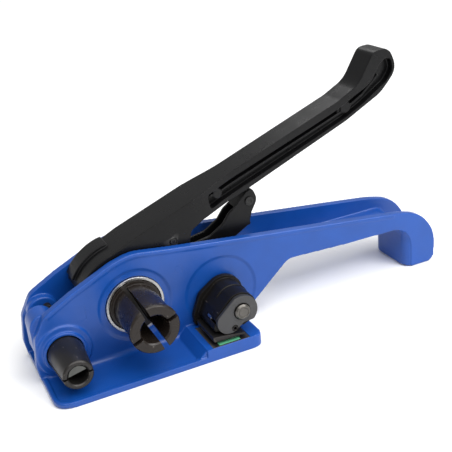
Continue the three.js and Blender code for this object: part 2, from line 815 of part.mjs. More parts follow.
function gripperTray() {
  const { left, right, front, back, floor, top } = TRAY;
  return cut(
    box(left, right, front, back, floor, top),
    box(left + 5.4, right - 6.2, front + 1.6, front + 9.4, floor + 1.2, 20),
    ...TRAY_SCREWS.map(([x, y]) => upright(x, y, 1.7 + GAP, -1, top - 1.2, 24)),
  );
}

function trayScrew([x, y]) {
  return joined(upright(x, y, 1.7, 0.6, TRAY.top - 1.6), upright(x, y, 3.8, 0.2, 2));
}

function axleNut() {
  return cut(rod(GRIPPER, 8.4, 11.3, 17.3, 6), rod(GRIPPER, 4 + GAP, 0, 30, 32));
}

function trayInsert() {
  const { left, right, front, floor, top } = TRAY;
  const [x0, x1] = [left + 5.4 + GAP, right - 6.2 - GAP];
  return box(x0, x1, front + 1.6 + GAP, front + 9.4 - GAP, floor + 1.2 + GAP, top - 0.3);
}

add('gripper_cam', gripperCam(), BLACK);
add('gripper_front_plate', gripperPlate(), DARK);
add('gripper_axle', gripperAxle(), STEEL);
add('gripper_axle_washer', tube(GRIPPER, 9, 4 + GAP, 9.5, 11, 32), STEEL);
add('gripper_axle_nut', axleNut(), STEEL);
add('gripper_roll_pin', tube(ROLL_PIN, ROLL_PIN_RADIUS, 1.1, -36.4, -24, 20), DARK);
add('gripper_stop_pin', rod(STOP_PIN, STOP_PIN_RADIUS, -24.6, -18, 16), STEEL);
add('gripper_spring', spring(GRIPPER, 7.8, 0.6, -32, -25, 3.2, 150, 1), SPRING);
add('gripper_shoe', gripperShoe(), BLACK);
add('gripper_tray', gripperTray(), BLACK);
add('tray_insert', trayInsert(), GREEN);
TRAY_SCREWS.forEach((place, i) => add(`tray_screw_${i + 1}`, trayScrew(place), DARK));

export default tool;
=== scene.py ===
import math

import bmesh
import bpy
from mathutils import Matrix, Vector


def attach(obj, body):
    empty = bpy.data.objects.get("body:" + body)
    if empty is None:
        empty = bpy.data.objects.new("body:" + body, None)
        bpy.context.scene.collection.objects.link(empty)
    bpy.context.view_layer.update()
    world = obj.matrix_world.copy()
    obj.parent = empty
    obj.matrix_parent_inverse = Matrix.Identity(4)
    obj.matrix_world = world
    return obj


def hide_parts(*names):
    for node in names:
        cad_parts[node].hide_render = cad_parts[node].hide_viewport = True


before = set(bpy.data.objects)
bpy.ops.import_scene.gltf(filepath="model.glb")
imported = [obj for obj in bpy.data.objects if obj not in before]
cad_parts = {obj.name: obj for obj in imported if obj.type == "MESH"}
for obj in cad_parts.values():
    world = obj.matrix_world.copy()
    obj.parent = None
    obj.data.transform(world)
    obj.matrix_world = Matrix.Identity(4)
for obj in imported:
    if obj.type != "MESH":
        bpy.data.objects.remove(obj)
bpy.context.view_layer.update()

# The strapping tensioner's fine surface. Lengths are in millimetres until a mesh is made, in metres.
MM = 0.001

# ---------------------------------------------------------------- sizes shared with the CAD model
BODY_WIDTH = 46.5
WALL = 6
REAR = BODY_WIDTH - WALL
MIDDLE = BODY_WIDTH / 2
AXIS = (0, 40)
HOLD_PIVOT = (36, 58)
DRIVE_PIVOT = (37.1, 77.7)
TAIL_PIN = (104, 89.8)
CUTTER = (-56.2, 20.7)
GRIPPER = (67.6, 30)
ROLL_PIN = (60.9, 18.2)
STOP_PIN = (49, 24.8)
HOOK_INNER = 236
HUB_DEPTH = 22.5
NOSE_RADIUS = 41
GAP = 0.3
TEETH = 24
ROOT_RADIUS = 23.5
TIP_RADIUS = 27
RATCHET_FROM = 15.75
RATCHET_TO = 30.75
SHAFT_BORE = 13.3
PIN_BORE = 3.3
TRAY = {"left": 41, "right": 70, "front": -40, "back": -6, "floor": 4.8, "top": 9.7}
TRAY_SCREWS = ((48, -14), (63, -14))

# Angles in degrees above which an edge is shaded sharp
SHARP = 34
SPRING_SHARP = 60
CAST_SHARP = 70


# ---------------------------------------------------------------- outlines
def on_circle(centre, radius, degrees):
    """A point in the XZ plane, its angle counted from +X towards +Z."""
    angle = math.radians(degrees)
    return centre[0] + radius * math.cos(angle), centre[1] + radius * math.sin(angle)


def arc(centre, radius, start, end, step=5):
    count = max(2, round(abs(end - start) / step))
    return [on_circle(centre, radius, start + (end - start) * i / count) for i in range(count + 1)]


def polar(radius, degrees):
    """A point about the windlass axis."""
    return on_circle(AXIS, radius, degrees)


def rounded(points, steps=8):
    """Rounds each corner that carries a third value, its radius."""
    outline = []
    for i, point in enumerate(points):
        corner = Vector(point[:2])
        if len(point) < 3:
            outline.append(tuple(corner))
            continue
        before = Vector(points[i - 1][:2]) - corner
        after = Vector(points[(i + 1) % len(points)][:2]) - corner
        half = before.angle(after) / 2
        reach = min(0.48 * min(before.length, after.length), point[2] / math.tan(half))
        start = corner + before.normalized() * reach
        end = corner + after.normalized() * reach
        for s in range(steps + 1):
            t = s / steps
            outline.append(tuple((1 - t) ** 2 * start + 2 * t * (1 - t) * corner + t * t * end))
    return outline


def inset(points, distance):
    """An outline that runs clockwise, moved inwards."""
    moved = []
    for i, point in enumerate(points):
        before = (Vector(point) - Vector(points[i - 1])).normalized()
        after = (Vector(points[(i + 1) % len(points)]) - Vector(point)).normalized()
        along = (before + after).normalized()
        normal = Vector((along.y, -along.x))
        moved.append(tuple(Vector(point) + normal * distance / max(0.5, along.dot(after))))
    return moved


# ---------------------------------------------------------------- mesh making
def new_object(name, bm):
    bmesh.ops.recalc_face_normals(bm, faces=bm.faces)
    mesh = bpy.data.meshes.new(name)
    bmesh.ops.scale(bm, vec=(MM, MM, MM), verts=bm.verts)
    bm.to_mesh(mesh)
    bm.free()
    obj = bpy.data.objects.new(name, mesh)
    bpy.context.scene.collection.objects.link(obj)
    return obj


def bevel_edges(bm, edges, width, segments=3):
    bmesh.ops.bevel(
        bm,
        geom=list(edges),
        offset=width,
        segments=segments,
        profile=0.5,
        affect="EDGES",
        clamp_overlap=True,
    )


def prism(points, start, end, edge=0.0):
    """A plate with its outline in the XZ plane, between two values of Y, with its rims rounded."""
    bm = bmesh.new()
    outline = rounded(points)
    near = [bm.verts.new((x, start, z)) for x, z in outline]
    far = [bm.verts.new((x, end, z)) for x, z in outline]
    bm.faces.new(near)
    bm.faces.new(far)
    for i in range(len(outline)):
        bm.faces.new((near[i - 1], near[i], far[i], far[i - 1]))
    if edge:
        rims = [e for e in bm.edges if abs(e.verts[0].co.y - e.verts[1].co.y) < 1e-6]
        bevel_edges(bm, rims, edge)
    return new_object("stock", bm)


def turned(centre, profile, sides=96):
    """A turned piece: (radius, Y) pairs revolved about the line along Y through centre."""
    bm = bmesh.new()
    closed = profile[0][0] > 0 and profile[0] == profile[-1]
    profile = profile[:-1] if closed else profile
    rings = []
    for radius, y in profile:
        if radius < 1e-6:
            rings.append([bm.verts.new((centre[0], y, centre[1]))])
            continue
        points = arc(centre, radius, 0, 360, 360 / sides)[:-1]
        rings.append([bm.verts.new((x, y, z)) for x, z in points])
    pairs = list(zip(rings, rings[1:]))
    if closed:
        pairs.append((rings[-1], rings[0]))
    for low, high in pairs:
        for i in range(sides):
            if len(low) == 1:
                corners = (low[0], high[i], high[i - 1])
            elif len(high) == 1:
                corners = (low[i - 1], low[i], high[0])
            else:
                corners = (low[i - 1], low[i], high[i], high[i - 1])
            bm.faces.new(corners)
    return new_object("stock", bm)


def softened(points, radius, steps=4):
    """A turning profile with its middle corners rounded."""
    ends = (points[0], points[-1])
    middle = [(r, y, radius) for r, y in points[1:-1]]
    return [ends[0], *rounded([ends[0], *middle, ends[1]], steps)[1:-1], ends[1]]


def rod(centre, radius, start, end, edge=0.0, sides=64):
    profile = [(0, start), (radius, start), (radius, end), (0, end)]
    return turned(centre, softened(profile, edge) if edge else profile, sides)


def ring(centre, outer, inner, start, end, edge=0.3, sides=96):
    corners = [(inner, start, edge), (outer, start, edge), (outer, end, edge), (inner, end, edge)]
    profile = rounded(corners, 3)
    return turned(centre, [*profile, profile[0]], sides)


def bar(section, x0, x1):
    """A bar along X, with its section in the YZ plane."""
    obj = prism(section, -x1, -x0)
    obj.data.transform(Matrix.Rotation(math.pi / 2, 4, "Z"))
    return obj


def box(x0, x1, y0, y1, z0, z1, edge=0.0):
    return prism([(x0, z0), (x1, z0), (x1, z1), (x0, z1)], y0, y1, edge)


def slab(points, z0, z1, edge=0.0):
    """A plate with its outline in the XY plane, between two heights."""
    obj = prism([(x, -y, *r) for x, y, *r in points], z0, z1, edge)
    obj.data.transform(Matrix.Rotation(math.pi / 2, 4, "X"))
    return obj


def crossbar(centre, length, width, angle, start, end):
    """A bar across centre, turned by an angle from +X towards +Z."""
    blade = box(-length / 2, length / 2, start, end, -width / 2, width / 2)
    turn = Matrix.Rotation(-math.radians(angle), 4, "Y")
    blade.data.transform(Matrix.Translation((centre[0] * MM, 0, centre[1] * MM)) @ turn)
    return blade


def upright(x, y, radius, z0, z1, edge=0.0, sides=40):
    """A round post along Z."""
    post = rod((0, 0), radius, z0, z1, edge, sides)
    post.data.transform(Matrix.Translation((x * MM, y * MM, 0)) @ Matrix.Rotation(math.pi / 2, 4, "X"))
    return post


def baked(obj):
    """Applies the object's modifiers to its mesh."""
    graph = bpy.context.evaluated_depsgraph_get()
    mesh = bpy.data.meshes.new_from_object(obj.evaluated_get(graph))
    obj.modifiers.clear()
    old = obj.data
    obj.data = mesh
    bpy.data.meshes.remove(old)
    return obj


def discard(obj):
    mesh = obj.data
    bpy.data.objects.remove(obj)
    bpy.data.meshes.remove(mesh)


def combine(first, others, operation):
    for other in others:
        tool = first.modifiers.new("tool", "BOOLEAN")
        tool.operation = operation
        tool.solver = "MANIFOLD"
        tool.object = other
    baked(first)
    for other in others:
        discard(other)
    return first


def union(first, *others):
    return combine(first, others, "UNION")


def less(first, *others):
    return combine(first, others, "DIFFERENCE")


def cast(obj, grain, passes, keep):
    """Turns a hard-edged solid into one with the soft edges and fillets of a casting or forging."""
    remesh = obj.modifiers.new("grain", "REMESH")
    remesh.mode = "VOXEL"
    remesh.voxel_size = grain * MM
    smooth = obj.modifiers.new("smooth", "SMOOTH")
    smooth.factor = 0.5
    smooth.iterations = passes
    thin = obj.modifiers.new("thin", "DECIMATE")
    thin.ratio = keep
    settle = obj.modifiers.new("settle", "SMOOTH")
    settle.factor = 0.3
    settle.iterations = 2
    return baked(obj)


def reshape(obj, move):
    """Moves each vertex by a rule; the rule works in millimetres."""
    for vertex in obj.data.vertices:
        vertex.co = Vector(move(*(vertex.co / MM))) * MM
    return obj


def coil(centre, radius, wire, start, end, turns, start_angle, leg, sides=10):
    """A torsion spring about a line along Y, with a straight leg off each end."""
    steps_per_turn, leg_steps = 48, 12
    span = turns * 2 * math.pi * radius
    steps = round(turns * steps_per_turn) + leg_steps
    path = []
    for i in range(steps + 1):
        along = -leg + (span + 2 * leg) * i / steps
        on_coil = min(max(along, 0), span)
        beyond = along - on_coil
        angle = math.radians(start_angle) + on_coil / radius
        y = start + wire + (end - start - 2 * wire) * on_coil / span
        x = centre[0] + radius * math.cos(angle) - beyond * math.sin(angle)
        z = centre[1] + radius * math.sin(angle) + beyond * math.cos(angle)
        path.append(Vector((x, y, z)))
    bm = bmesh.new()
    rings = []
    for i, point in enumerate(path):
        ahead = (path[min(i + 1, steps)] - path[max(i - 1, 0)]).normalized()
        side = ahead.cross(Vector((0, 1, 0))).normalized()
        up = side.cross(ahead)
        angles = [2 * math.pi * k / sides for k in range(sides)]
        rings.append([bm.verts.new(point + (side * math.cos(a) + up * math.sin(a)) * wire) for a in angles])
    for low, high in zip(rings, rings[1:]):
        for k in range(sides):
            bm.faces.new((low[k - 1], low[k], high[k], high[k - 1]))
    bm.faces.new(rings[0])
    bm.faces.new(rings[-1])
    return new_object("stock", bm)


def finished(obj, name, body, material, sharp=SHARP):
    """Names a piece after the CAD node that it stands for, shades it and puts it on its body."""
    obj.name = name + "_surface"
    obj.data.name = obj.name
    obj.data.materials.clear()
    obj.data.materials.append(material)
    obj.data.shade_smooth()
    obj.data.set_sharp_from_angle(angle=math.radians(sharp))
    obj.modifiers.new("even_normals", "WEIGHTED_NORMAL").keep_sharp = True
    baked(obj)
    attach(obj, body)
    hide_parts(name)
    return obj


# ---------------------------------------------------------------- materials
def node_material(name):
    material = bpy.data.materials.new(name)
    material.use_nodes = True
    nodes = material.node_tree.nodes
    return material, nodes, material.node_tree.links, nodes["Principled BSDF"]


def noise(nodes, links, coordinates, scale, detail=3, stretch=None):
    source = coordinates
    if stretch:
        mapping = nodes.new("ShaderNodeMapping")
        mapping.inputs["Scale"].default_value = stretch
        links.new(coordinates, mapping.inputs["Vector"])
        source = mapping.outputs["Vector"]
    texture = nodes.new("ShaderNodeTexNoise")
    texture.inputs["Scale"].default_value = scale
    texture.inputs["Detail"].default_value = detail
    links.new(source, texture.inputs["Vector"])
    return texture.outputs["Fac"]


def spread(nodes, links, value, low, high, out_low, out_high):
    mapped = nodes.new("ShaderNodeMapRange")
    mapped.inputs["From Min"].default_value = low
    mapped.inputs["From Max"].default_value = high
    mapped.inputs["To Min"].default_value = out_low
    mapped.inputs["To Max"].default_value = out_high
    links.new(value, mapped.inputs["Value"])
    return mapped.outputs["Result"]


def blend_colours(nodes, links, factor, first, second):
    mix = nodes.new("ShaderNodeMix")
    mix.data_type = "RGBA"
    colours = [socket for socket in mix.inputs if socket.type == "RGBA"]
    for socket, colour in zip(colours, (first, second)):
        if isinstance(colour, tuple):
            socket.default_value = (*colour, 1)
        else:
            links.new(colour, socket)
    links.new(factor, mix.inputs["Factor"])
    return next(socket for socket in mix.outputs if socket.type == "RGBA")


def bump(nodes, links, shader, height, strength, distance):
    relief = nodes.new("ShaderNodeBump")
    relief.inputs["Strength"].default_value = strength
    relief.inputs["Distance"].default_value = distance
    links.new(height, relief.inputs["Height"])
    links.new(relief.outputs["Normal"], shader.inputs["Normal"])


def coated(name, colour, worn_and_highlit_colour, roughness, grain, depth, wear_and_highlight, metallic=0.0, coat=0.0, specular=0.5):
    """Paint or black oxide: a little uneven in colour and gloss, finely grained, paler on sharp edges,
    which is partly edge wear and partly a painted highlight.
    """
    material, nodes, links, shader = node_material(name)
    place = nodes.new("ShaderNodeTexCoord").outputs["Object"]
    cloud = spread(nodes, links, noise(nodes, links, place, 35), 0.35, 0.65, 0, 1)
    darker = tuple(c * 0.86 for c in colour)
    tone = blend_colours(nodes, links, cloud, darker, colour)
    # Sharp edges are painted paler: partly edge wear, partly a painted highlight along the rims where light
    # would catch.
    edge = nodes.new("ShaderNodeNewGeometry").outputs["Pointiness"]
    worn_and_highlit_edge = spread(nodes, links, edge, 0.54, 0.68, 0, wear_and_highlight)
    tone = blend_colours(nodes, links, worn_and_highlit_edge, tone, worn_and_highlit_colour)
    links.new(tone, shader.inputs["Base Color"])
    patches = noise(nodes, links, place, 90, 4)
    gloss = spread(nodes, links, patches, 0.3, 0.7, roughness - 0.05, roughness + 0.06)
    links.new(gloss, shader.inputs["Roughness"])
    shader.inputs["Metallic"].default_value = metallic
    shader.inputs["Specular IOR Level"].default_value = specular
    shader.inputs["Coat Weight"].default_value = coat
    shader.inputs["Coat Roughness"].default_value = 0.25
    bump(nodes, links, shader, noise(nodes, links, place, grain, 2), depth, 0.0002)
    return material


def steel(name, colour, roughness, stretch):
    """Machined steel: fine turning lines and faint clouding."""
    material, nodes, links, shader = node_material(name)
    place = nodes.new("ShaderNodeTexCoord").outputs["Object"]
    lines = noise(nodes, links, place, 900, 2, stretch)
    cloud = noise(nodes, links, place, 60)
    darker = tuple(c * 0.8 for c in colour)
    tone = blend_colours(nodes, links, spread(nodes, links, cloud, 0.3, 0.7, 0, 1), darker, colour)
    links.new(tone, shader.inputs["Base Color"])
    gloss = spread(nodes, links, lines, 0.3, 0.7, roughness - 0.08, roughness + 0.1)
    links.new(gloss, shader.inputs["Roughness"])
    shader.inputs["Metallic"].default_value = 1
    bump(nodes, links, shader, lines, 0.04, 0.0001)
    return material


# Each finish's paler edge colour and its amount paint the sharp edges: edge wear and a painted highlight
# together.
BLUE = coated(
    "cast_blue",
    colour=(0.005, 0.069, 0.345),
    worn_and_highlit_colour=(0.07, 0.20, 0.60),
    roughness=0.34,
    grain=900,
    depth=0.08,
    wear_and_highlight=0.8,
    coat=0.15,
    specular=0.4,
)
LEVER_BLACK = coated(
    "lever_black",
    colour=(0.0045, 0.0045, 0.005),
    worn_and_highlit_colour=(0.16, 0.155, 0.15),
    roughness=0.30,
    grain=1100,
    depth=0.16,
    wear_and_highlight=1.0,
    specular=0.2,
)
BLACK = coated(
    "black_steel",
    colour=(0.009, 0.008, 0.0072),
    worn_and_highlit_colour=(0.20, 0.18, 0.16),
    roughness=0.36,
    grain=1300,
    depth=0.08,
    wear_and_highlight=0.9,
    specular=0.16,
)
DRUM = coated(
    "drum_steel",
    colour=(0.019, 0.0145, 0.012),
    worn_and_highlit_colour=(0.22, 0.20, 0.18),
    roughness=0.26,
    grain=1300,
    depth=0.05,
    wear_and_highlight=0.8,
    metallic=0.1,
    specular=0.3,
)
DARK = coated(
    "dark_steel",
    colour=(0.020, 0.020, 0.020),
    worn_and_highlit_colour=(0.20, 0.20, 0.20),
    roughness=0.34,
    grain=1300,
    depth=0.08,
    wear_and_highlight=0.8,
    metallic=0.6,
)
GREY = coated(
    "worn_steel",
    colour=(0.035, 0.033, 0.032),
    worn_and_highlit_colour=(0.26, 0.23, 0.20),
    roughness=0.38,
    grain=1300,
    depth=0.10,
    wear_and_highlight=0.9,
    metallic=0.7,
)
PLATE = coated(
    "phosphate_plate",
    colour=(0.040, 0.040, 0.042),
    worn_and_highlit_colour=(0.16, 0.16, 0.16),
    roughness=0.5,
    grain=1500,
    depth=0.14,
    wear_and_highlight=0.7,
    metallic=0.3,
)
GREEN = coated(
    "insert_green",
    colour=(0.10, 0.40, 0.22),
    worn_and_highlit_colour=(0.16, 0.5, 0.28),
    roughness=0.36,
    grain=700,
    depth=0.06,
    wear_and_highlight=0.2,
)
LENGTHWISE, ALL_WAYS = (1, 0.05, 1), (1, 1, 1)
STEEL = steel("bright_steel", (0.50, 0.495, 0.485), 0.30, LENGTHWISE)
BLADE = steel("blade_steel", (0.11, 0.113, 0.107), 0.36, LENGTHWISE)
AXLE = steel("axle_steel", (0.15, 0.142, 0.13), 0.36, ALL_WAYS)
SPRING = steel("spring_steel", (0.30, 0.30, 0.30), 0.34, ALL_WAYS)


# ---------------------------------------------------------------- body casting
WALL_OUTLINE = [
    (-75.5, 0, 2),
    (-77.5, 14, 8),
    (-75, 35, 10),
    (-66.5, 50.5, 14),
    (-45.1, 62, 30),
    (-13.9, 76, 30),
    (2, 80.4, 40),
    (31.5, 76, 60),
    (103.6, 67),
    (182.8, 57.5),
    (229, 51.8, 130),
    (250.6, 46.3, 30),
    (265.2, 26.8, 34),
    (264, 0, 6),
    (HOOK_INNER, 0.6, 4),
    (HOOK_INNER, 37.6, 12),
    (177.5, 38.4),
    (126, 40.6, 12),
    (95.4, 14.2, 10),
    (80.5, 0, 4),
]
END_WEB = [
    (214, 37.7),
    (HOOK_INNER, 37.7, 12),
    (HOOK_INNER, 1),
    (HOOK_INNER + 6, 1),
    (HOOK_INNER + 6, 42, 15),
    (214, 41.6),
]


def base_foot():
    """A low plate with a sunk floor, its rim left standing, and the plateau under the gripper."""
    left, right, front = -75.5, 80.5, -41
    plateau = 36
    outline = [(left, 4), (left, front, 13), (right, front, 7), (right, 4)]
    low = slab(outline, 0, 4.2, 1.2)
    tray = slab([(-72.3, 4), (-72.3, -37.8, 10), (34.5, -37.8, 9), (34.5, 4)], 3.0, 20, 1.4)
    high = less(slab(outline, 0, 10, 1.8), box(-90, plateau, -60, 60, -1, 20))
    fillet = bar([(0.6, 2.6), (0.6, 7), *arc((-3.6, 6.6), 3.6, 0, -90, 15), (-3.6, 2.6)], -73, 38)
    slope = prism([(28.5, 2.8), (37.5, 2.8), (37.5, 9.9), (plateau, 9.7)], -39.4, 1)
    return union(less(low, tray), high, fillet, slope)


def top_bead():
    """The low bead along the top edge of the front wall."""
    outline = rounded(WALL_OUTLINE)
    edges = (inset(outline, 0.7), inset(outline, 3.2))
    kept = [i for i, (x, z) in enumerate(outline) if z > 47 and -66 < x < 225]
    line = [edges[0][i] for i in kept] + [edges[1][i] for i in reversed(kept)]
    return prism(line, -0.45, 1)


def hook_round(front):
    """Cutters that take the edge off the inside of the hook, more and more towards a wall's face."""
    radius = 8
    cutters = []
    for layer in range(radius):
        reach = radius - math.sqrt(radius**2 - (radius - layer - 0.5) ** 2)
        outline = [
            (190, -14),
            (190, 38),
            (HOOK_INNER + reach, 37.6, 12 + 1.6 * reach),
            (HOOK_INNER + reach, -14),
        ]
        first = layer == 0
        start, end = layer - 0.05 - first, layer + 1.05
        if not front:
            start, end = BODY_WIDTH - end, BODY_WIDTH - start
        cutters.append(prism(outline, start, end))
    return cutters


def dish(centre, radius):
    """The cutter for a round shallow recess with a sloping edge in the front wall."""
    depth, slope, clear = 0.85, 2.6, 1.5
    profile = [
        (0, -clear),
        (radius + clear * slope, -clear),
        (radius - depth * slope, depth),
        (0, depth),
    ]
    return turned(centre, profile, 128)


def nose_hub(start):
    return union(
        rod((-66, 40), 10.2, start, HUB_DEPTH, 1.0),
        rod(CUTTER, 17, start, HUB_DEPTH, 1.0),
        prism([(-76.1, 22), (-76.1, 41), (-58, 46.4), (-41, 26)], start, HUB_DEPTH, 1.0),
    )


def rear_boss(end):
    start = 34
    return union(
        rod((-60, 37), 12, start, end, 1.4),
        rod(CUTTER, 13, start, end, 1.4),
        prism([(-72, 37), (-69, 20), (-43.4, 20), (-48, 37)], start, end),
    )


def handle_channel(start, end):
    outline = [(122, 37.6), (126, 40.3), (177.5, 38.7), (216, 37.7), (216, 41.6), (122, 42)]
    return prism(outline, start, end)


def bored(casting):
    """The casting with its bores, its tray pocket and two faint marks on the front wall."""
    left, right, front, back = (TRAY[k] for k in ("left", "right", "front", "back"))
    sleeve_seat = [(0, -5), (14.1, -5), (12.3, 3), (12.3, HUB_DEPTH + 1), (0, HUB_DEPTH + 1)]
    return less(
        casting,
        rod(AXIS, 22.4, -5, WALL + 0.3, 0, 128),
        rod(AXIS, 16.3, REAR - 1, BODY_WIDTH + 1, 0, 96),
        rod(HOLD_PIVOT, PIN_BORE, 1.7, BODY_WIDTH + 1),
        ring(HOLD_PIVOT, 3.5, 3.1, -1, 0.14, 0.02),
        box(-42.7, -36.5, -1, 0.12, 40, 51),
        turned(CUTTER, sleeve_seat, 128),
        rod(CUTTER, 7.1, 33, BODY_WIDTH + 1),
        rod(GRIPPER, 6.3, -1, 9),
        box(left - GAP, right + GAP, front - GAP, back + GAP, 4.5, 20),
        *[upright(x, y, 2.4, -1, 6) for x, y in TRAY_SCREWS],
        *[upright(x, y, 4.2, -1, 2.4) for x, y in TRAY_SCREWS],
    )


def body_casting():
    inner = (WALL - 0.5, REAR + 0.5)
    whole = union(
        prism(WALL_OUTLINE, 0, WALL, 1.7),
        prism(WALL_OUTLINE, REAR, BODY_WIDTH, 1.7),
        base_foot(),
        less(box(-75.5, 80.5, *inner, 0, 5), box(-34, 34, WALL + 0.6, REAR - 0.6, -1, 6)),
        handle_channel(*inner),
        prism(END_WEB, *inner),
        nose_hub(inner[0]),
        rear_boss(inner[1]),
        rod(CUTTER, 20, -1.5, 3, 0.8),
        rod(CUTTER, 15.6, -3.6, 3, 0.9),
        rod(GRIPPER, 10, WALL - 1, WALL + 1.5),
        top_bead(),
    )
    land = less(dish(GRIPPER, 29.5), box(0, 120, -20, 20, -10, 10))
    whole = less(whole, dish(AXIS, 28.4), land, *hook_round(True), *hook_round(False))
    return bored(cast(whole, 0.5, 5, 0.21))


finished(body_casting(), "body_casting", "base", BLUE, CAST_SHARP)

# ---------------------------------------------------------------- windlass
SLOT_ANGLE = 112


def windlass_drum():
    front, root = -42, -1.6
    step = WALL + 0.2
    groove_front, groove_back, end = 47, 48.6, 51
    profile = [
        (0, front + 36),
        (10.5, front + 36),
        (10.5, front + 1.2),
        (11.9, front),
        (17.1, front),
        (18.3, front + 1.2),
        (18.3, front + 4.6),
        (17, front + 6),
        (17, root),
        (19.5, root),
        (19.5, step),
        (13, step),
        (13, groove_front),
        (11.6, groove_front),
        (11.6, groove_back),
        (13, groove_back),
        (13, end - 1),
        (12, end),
        (0, end),
    ]
    drum = less(
        turned(AXIS, profile, 160),
        crossbar(AXIS, 60, 3.9, SLOT_ANGLE, front - 1, root),
        crossbar(AXIS, 60, 2.7, SLOT_ANGLE - 90, front - 1, front + 10),
        box(-3.3, 3.3, RATCHET_FROM, 60, 50.2, 70),
    )
    return cast(drum, 0.22, 4, 0.22)


def face_angle(radius, root):
    """Where the leaning face of a tooth is at a radius, for a tooth whose root is at an angle."""
    lean = math.tan(math.radians(18))
    return root + math.degrees((radius - ROOT_RADIUS) * lean / radius)


def ratchet_wheel():
    points = []
    for tooth in range(TEETH):
        root = tooth * 360 / TEETH
        tip = face_angle(TIP_RADIUS, root)
        points += [
            polar(ROOT_RADIUS, root),
            polar(TIP_RADIUS, tip),
            polar(TIP_RADIUS, tip + 1.4),
            polar(25.1, root + 9.3),
        ]
    return less(
        prism(points, RATCHET_FROM, RATCHET_TO, 0.25),
        rod(AXIS, SHAFT_BORE, 0, 40, 0, 96),
        box(-3.3, 3.3, 0, 40, 40, 56.3),
    )


def windlass_circlip():
    return less(ring(AXIS, 16, 11.9, 47.3, 48.3, 0.25), box(-1.5, 1.5, 0, 60, 20, 32))


finished(windlass_drum(), "windlass_drum", "windlass", DRUM, CAST_SHARP)
finished(ring(AXIS, 22.1, 19.8, -1.2, WALL, 0.5, 160), "windlass_front_bearing", "base", STEEL)
finished(ring(AXIS, 16, SHAFT_BORE, REAR + 0.1, 46.6, 0.4), "windlass_rear_bush", "base", STEEL)
finished(windlass_circlip(), "windlass_circlip", "windlass", DARK)
finished(ratchet_wheel(), "ratchet_wheel", "windlass", DARK)
finished(box(-3, 3, 16.15, RATCHET_TO, 50.5, 56, 0.4), "ratchet_key", "windlass", STEEL)

# ---------------------------------------------------------------- drive lever
LEVER_TOP = [(4, 86, 20), (40, 99.3), (184, 152.6, 30), (202, 162, 24), (216, 184.5, 8)]
LEVER_UNDERSIDE = [(230, 185.5, 10), (237.5, 168, 16), (222, 151.6, 30), (190, 135.6), (100, 100.2)]
CHEEK_EDGE = [(62, 87.5, 8), (52, 82, 6), (49.7, 71.5, 3), (30, 68, 6), (22, 46)]
CHEEK_FRONT = 7
CHEEK_BACK = BODY_WIDTH - CHEEK_FRONT
LEVER_WIDTH = 23
HEAD_END, HANDLE_START = 54, 92
HANDLE_POCKET = [
    (68, 104.8, 3),
    (120, 123.4),
    (160, 137.4),
    (183, 146, 20),
    (209.7, 159.1, 20),
    (214.5, 163, 8),
    (220.5, 173, 8),
    (226, 177.5, 5),
    (231.5, 177, 4),
    (233.4, 168, 8),
    (227, 159.5, 15),
    (206, 146.3, 20),
    (190, 138.3, 20),
    (160, 126.8),
    (70, 93.2, 3),
]
SPINE = [
    (76, 103.6),
    (76, 102),
    (190, 142.9),
    (206, 151.7),
    (221, 165.2),
    (220, 166.4),
    (205, 153.3),
    (189.4, 144.6),
]


def lever_taper(x, y, z):
    """The head is as wide as the space between the walls, and the handle is narrower."""
    share = min(max((x - HEAD_END) / (HANDLE_START - HEAD_END), 0), 1)
    share = share * share * (3 - 2 * share)
    width = (CHEEK_BACK - CHEEK_FRONT) * (1 - share) + LEVER_WIDTH * share
    return x, MIDDLE + (y - MIDDLE) * width / (CHEEK_BACK - CHEEK_FRONT), z


def pocket_details():
    """What stands in the handle's side pockets: a middle rib, two bosses and the webs round them."""
    web = [(183, 141), (184, 146.4), (192, 150), (196, 145), (192, 140.6)]
    return [
        prism(SPINE, CHEEK_FRONT + 2, CHEEK_BACK - 2),
        rod((190.5, 146), 4.6, CHEEK_FRONT + 1.6, CHEEK_BACK - 1.6, 0.8),
        rod((77, 104), 4, CHEEK_FRONT + 0.4, CHEEK_BACK - 0.4, 0.8),
        prism([(71, 104.6), (71, 102.6), (77, 103), (77, 105)], CHEEK_FRONT + 0.8, CHEEK_BACK - 0.8),
        prism(web, CHEEK_FRONT + 4, CHEEK_BACK - 4),
    ]


def drive_lever():
    cheek, depth = 4.5, 8.5
    nose = arc(AXIS, NOSE_RADIUS, 155, 103)
    hub = arc(AXIS, 22, 0, -145)
    outline = [*nose, *LEVER_TOP, *LEVER_UNDERSIDE, *CHEEK_EDGE, *hub]
    inside = [*arc(AXIS, 37, 190, 92), (12, 84.2), (54, 98.5, 4), (54, 20), (-45, 10)]
    block = less(
        prism(outline, CHEEK_FRONT, CHEEK_BACK, 1.8),
        prism(inside, CHEEK_FRONT + cheek, CHEEK_BACK - cheek),
        prism(HANDLE_POCKET, CHEEK_FRONT - 1, CHEEK_FRONT + depth),
        prism(HANDLE_POCKET, CHEEK_BACK - depth, CHEEK_BACK + 1),
    )
    band = [*arc(AXIS, NOSE_RADIUS + 2.2, 150, 101), *arc(AXIS, 39, 101, 150)]
    pad = prism(band, MIDDLE, CHEEK_BACK, 0.8)
    lever = cast(union(block, pad, *pocket_details()), 0.44, 3, 0.24)
    reshape(lever, lever_taper)
    shaft = rod(AXIS, 16, 0, BODY_WIDTH, 0, 96)
    return less(lever, shaft, rod(DRIVE_PIVOT, PIN_BORE, 0, BODY_WIDTH))


def pawl_face(root):
    """The toe and brow of a pawl whose face rests just clear of the tooth with its root at an angle."""
    clear = 0.9
    return polar(24, face_angle(24, root) - clear), polar(28.5, face_angle(28.5, root) - clear)


